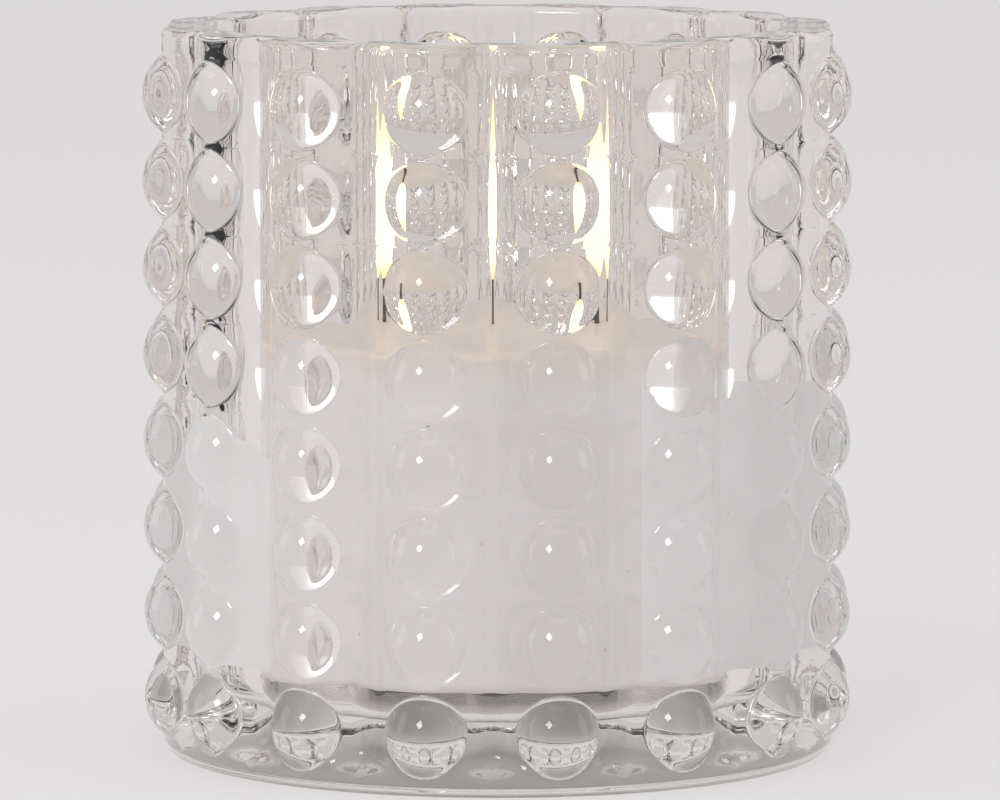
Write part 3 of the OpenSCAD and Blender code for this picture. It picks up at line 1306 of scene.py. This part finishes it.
        turns = np.linspace(0, TURN, self.flame_around + 1)[:-1]
        rings = []
        for radius, height in self.flame_section():
            out = self.flame_fold(turns, radius, height)
            rings.append(ring_at(radius + out, height, turns))
        sheet = Sheet()
        sheet.add_rings(rings)
        low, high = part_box("flame_shell")
        sheet.add_cap(rings[0], np.array([[0, 0, low.z]]), upward=False)
        sheet.add_cap(rings[-1], np.array([[0, 0, high.z]]), upward=True)
        skin = sheet.to_object("flame_skin")
        dress(skin, self.flame.make())
        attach(skin, Body.CANDLE.value)
        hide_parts("flame_shell")
        log.info("%s: %d vertices", skin.name, len(skin.data.vertices))

        dress(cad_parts["wick_tube"], self.thread.make())
        log.info("wick_tube: dressed")


# ---- base and electronics --------------------------------------------------


@dataclass
class CandleBase:
    """The plastic base, its battery cover, screws, switch and contacts."""

    # The base housing's outer part is painted pale as painted light, standing in for the
    # light that reaches it under the glass.
    charcoal: MouldedPlastic = MouldedPlastic(
        "charcoal_plastic", (0.13, 0.125, 0.125), 0.5, Grain.SPARKED,
        painted_pale_plate=(0.62, 0.61, 0.60),
    )
    cover: MouldedPlastic = MouldedPlastic(
        "charcoal_cover", (0.15, 0.145, 0.145), 0.47, Grain.SPARKED
    )
    natural: MouldedPlastic = MouldedPlastic(
        "natural_plastic", (0.80, 0.79, 0.74), 0.42, Grain.SATIN, 0.3
    )
    knob: MouldedPlastic = MouldedPlastic(
        "knob_plastic", (0.012, 0.012, 0.013), 0.36, Grain.SATIN
    )
    screw: StampedMetal = StampedMetal("screw_steel", (0.62, 0.62, 0.64), 0.3)
    cell: StampedMetal = StampedMetal("cell_steel", (0.74, 0.74, 0.75), 0.24)
    brass: StampedMetal = StampedMetal("contact_brass", (0.72, 0.55, 0.26), 0.26)
    switch_can: StampedMetal = StampedMetal("switch_can", (0.66, 0.67, 0.68), 0.3)

    def build(self) -> None:
        """Dresses the base's parts."""
        finishes = {
            "base_housing": self.charcoal,
            "battery_cover": self.cover,
            "inner_housing": self.natural,
            "switch_knob": self.knob,
            "housing_screws": self.screw,
            "coin_cell": self.cell,
            "positive_contact": self.brass,
            "negative_contact": self.brass,
            "switch_body": self.switch_can,
        }
        dress_nodes(finishes)


@dataclass
class LampCircuit:
    """The circuit board, what is soldered to it, the leads and the lamps."""

    mask: SolderMask = SolderMask()
    resin: FiredCeramic = FiredCeramic(
        "chip_black", (0.014, 0.014, 0.015), (0.03, 0.03, 0.03), 0.55
    )
    tan: FiredCeramic = FiredCeramic(
        "capacitor_tan", (0.48, 0.33, 0.19), (0.56, 0.40, 0.25), 0.45
    )
    white: FiredCeramic = FiredCeramic(
        "white_board", (0.80, 0.80, 0.74), (0.86, 0.86, 0.82), 0.4
    )
    tinned: StampedMetal = StampedMetal("tinned_metal", (0.70, 0.70, 0.72), 0.25)
    can: StampedMetal = StampedMetal(
        "crystal_can", (0.68, 0.68, 0.70), 0.2, (12, 1, 12)
    )
    red: WireEnamel = WireEnamel("red_enamel", (0.50, 0.015, 0.010))
    black: WireEnamel = WireEnamel("black_enamel", (0.012, 0.012, 0.013))
    phosphor: LampPhosphor = LampPhosphor()

    def build(self) -> None:
        """Dresses the circuit's parts."""
        finishes = {
            "circuit_board": self.mask,
            "control_chip": self.resin,
            "chip_resistors": self.resin,
            "chip_capacitor": self.tan,
            "led_board": self.white,
            "chip_leads": self.tinned,
            "timer_crystal": self.can,
            "lead_red": self.red,
            "lead_black": self.black,
            "led_chips": self.phosphor,
        }
        dress_nodes(finishes)


def dress_nodes(finishes: dict[str, object]) -> None:
    """Gives CAD nodes their finishes, making each finish once.

    Args:
        finishes: Finish by node name.
    """
    made: dict[object, bpy.types.Material] = {}
    for node, finish in finishes.items():
        if finish not in made:
            made[finish] = finish.make()
        dress(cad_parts[node], made[finish])
        log.info("%s: dressed in %s", node, made[finish].name)


# ---- the studio ------------------------------------------------------------


@dataclass(frozen=True)
class SoftBox:
    """A rectangular studio light aimed at the middle of the object's foot."""

    name: str
    azimuth: float
    elevation: float
    distance: float
    width: float
    length: float
    power: float
    roll: float = 0.0

    def place(self) -> None:
        """Adds the light to the scene."""
        lamp = bpy.data.lights.new(self.name, "AREA")
        lamp.shape = "RECTANGLE"
        lamp.size, lamp.size_y = self.width, self.length
        lamp.energy = self.power
        holder = bpy.data.objects.new(self.name, lamp)
        bpy.context.scene.collection.objects.link(holder)
        holder.visible_camera = False
        holder.location = direction(self.azimuth, self.elevation) * self.distance
        aimed = holder.location.to_track_quat("Z", "Y")
        rolled = Quaternion((0, 0, 1), math.radians(self.roll))
        holder.rotation_mode = "QUATERNION"
        holder.rotation_quaternion = aimed @ rolled


def direction(azimuth: float, elevation: float) -> Vector:
    """Unit vector at degrees from -Y towards +X, and degrees above the horizon."""
    a, e = math.radians(azimuth), math.radians(elevation)
    return Vector((math.sin(a) * math.cos(e), -math.cos(a) * math.cos(e), math.sin(e)))


@dataclass
class Studio:
    """Floor, lights and camera."""

    camera_azimuth: float = 12.3
    camera_reach: float = 877 * MM
    camera_height: float = 136 * MM
    aim_height: float = 38.56 * MM
    aim_side: float = 0.22 * MM
    lens: float = 289.0
    floor_size: float = 12.0
    floor_tiles: int = 12
    zenith: Colour = (0.74, 0.725, 0.72)
    horizon: Colour = (0.60, 0.585, 0.58)
    paper: StudioPaper = field(default_factory=StudioPaper)

    def build(self) -> None:
        """Builds the studio."""
        self.add_floor()
        self.add_sky()
        self.add_lights()
        self.add_camera()
        scene = bpy.context.scene
        scene.view_settings.view_transform = "Standard"

    def add_floor(self) -> None:
        """Lays the pale floor."""
        half = self.floor_size / 2
        tiles = self.floor_tiles
        steps = np.linspace(-half, half, tiles + 1)
        x, y = np.meshgrid(steps, steps, indexing="ij")
        points = np.stack([x, y, np.zeros_like(x)], axis=-1).reshape(-1, 3)
        i, j = np.meshgrid(np.arange(tiles), np.arange(tiles), indexing="ij")
        near, far = i * (tiles + 1) + j, (i + 1) * (tiles + 1) + j
        quads = np.stack([near, far, far + 1, near + 1], axis=-1)
        sheet = Sheet()
        sheet.add(points, quads.reshape(-1, 4))
        floor = sheet.to_object("studio_floor")
        dress(floor, self.paper.make())

    def add_sky(self) -> None:
        """Sets the soft surrounding light."""
        world = bpy.data.worlds.new("soft_surround")
        bpy.context.scene.world = world
        world.use_nodes = True
        tree = world.node_tree
        where = tree.nodes.new("ShaderNodeTexCoord")
        split = tree.nodes.new("ShaderNodeSeparateXYZ")
        blend = tree.nodes.new("ShaderNodeValToRGB")
        blend.color_ramp.elements[0].color = (*self.horizon, 1.0)
        blend.color_ramp.elements[1].color = (*self.zenith, 1.0)
        tree.links.new(where.outputs["Generated"], split.inputs["Vector"])
        tree.links.new(split.outputs["Z"], blend.inputs["Fac"])
        background = tree.nodes["Background"]
        tree.links.new(blend.outputs["Color"], background.inputs["Color"])

    def add_lights(self) -> None:
        """Places the soft boxes."""
        for box in (
            SoftBox("key_left", -12.7, 27, 1.0, 0.25, 0.25, 2.4, roll=45),
            SoftBox("top_bank", 20, 80, 1.3, 0.9, 0.9, 1.4),
            SoftBox("right_bank", 102, 16, 1.6, 0.7, 1.0, 2.3),
            SoftBox("left_bank", -78, 16, 1.6, 0.7, 1.0, 2.5),
        ):
            box.place()

    def add_camera(self) -> None:
        """Sets the camera."""
        data = bpy.data.cameras.new("camera")
        data.lens = self.lens
        data.sensor_width = 36.0
        data.clip_start, data.clip_end = 0.05, 50.0
        camera = bpy.data.objects.new("camera", data)
        bpy.context.scene.collection.objects.link(camera)
        turn = math.radians(self.camera_azimuth)
        out = Vector((math.sin(turn), -math.cos(turn), 0))
        right = Vector((math.cos(turn), math.sin(turn), 0))
        camera.location = out * self.camera_reach + Vector((0, 0, self.camera_height))
        target = right * self.aim_side + Vector((0, 0, self.aim_height))
        look = target - camera.location
        camera.rotation_mode = "QUATERNION"
        camera.rotation_quaternion = look.to_track_quat("-Z", "Y")
        bpy.context.scene.camera = camera


def corners(bounds: tuple[Vector, Vector]) -> list[list[float]]:
    """Both corners of a box as plain lists."""
    return [list(bounds[0]), list(bounds[1])]


def main() -> None:
    """Builds every sub-assembly in order."""
    logging.basicConfig(level=logging.INFO, format="%(name)s: %(message)s")
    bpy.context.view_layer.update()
    HobnailGlass().build()
    WaxCandle().build()
    CandleBase().build()
    LampCircuit().build()
    Studio().build()


if __name__ == "__main__":
    main()
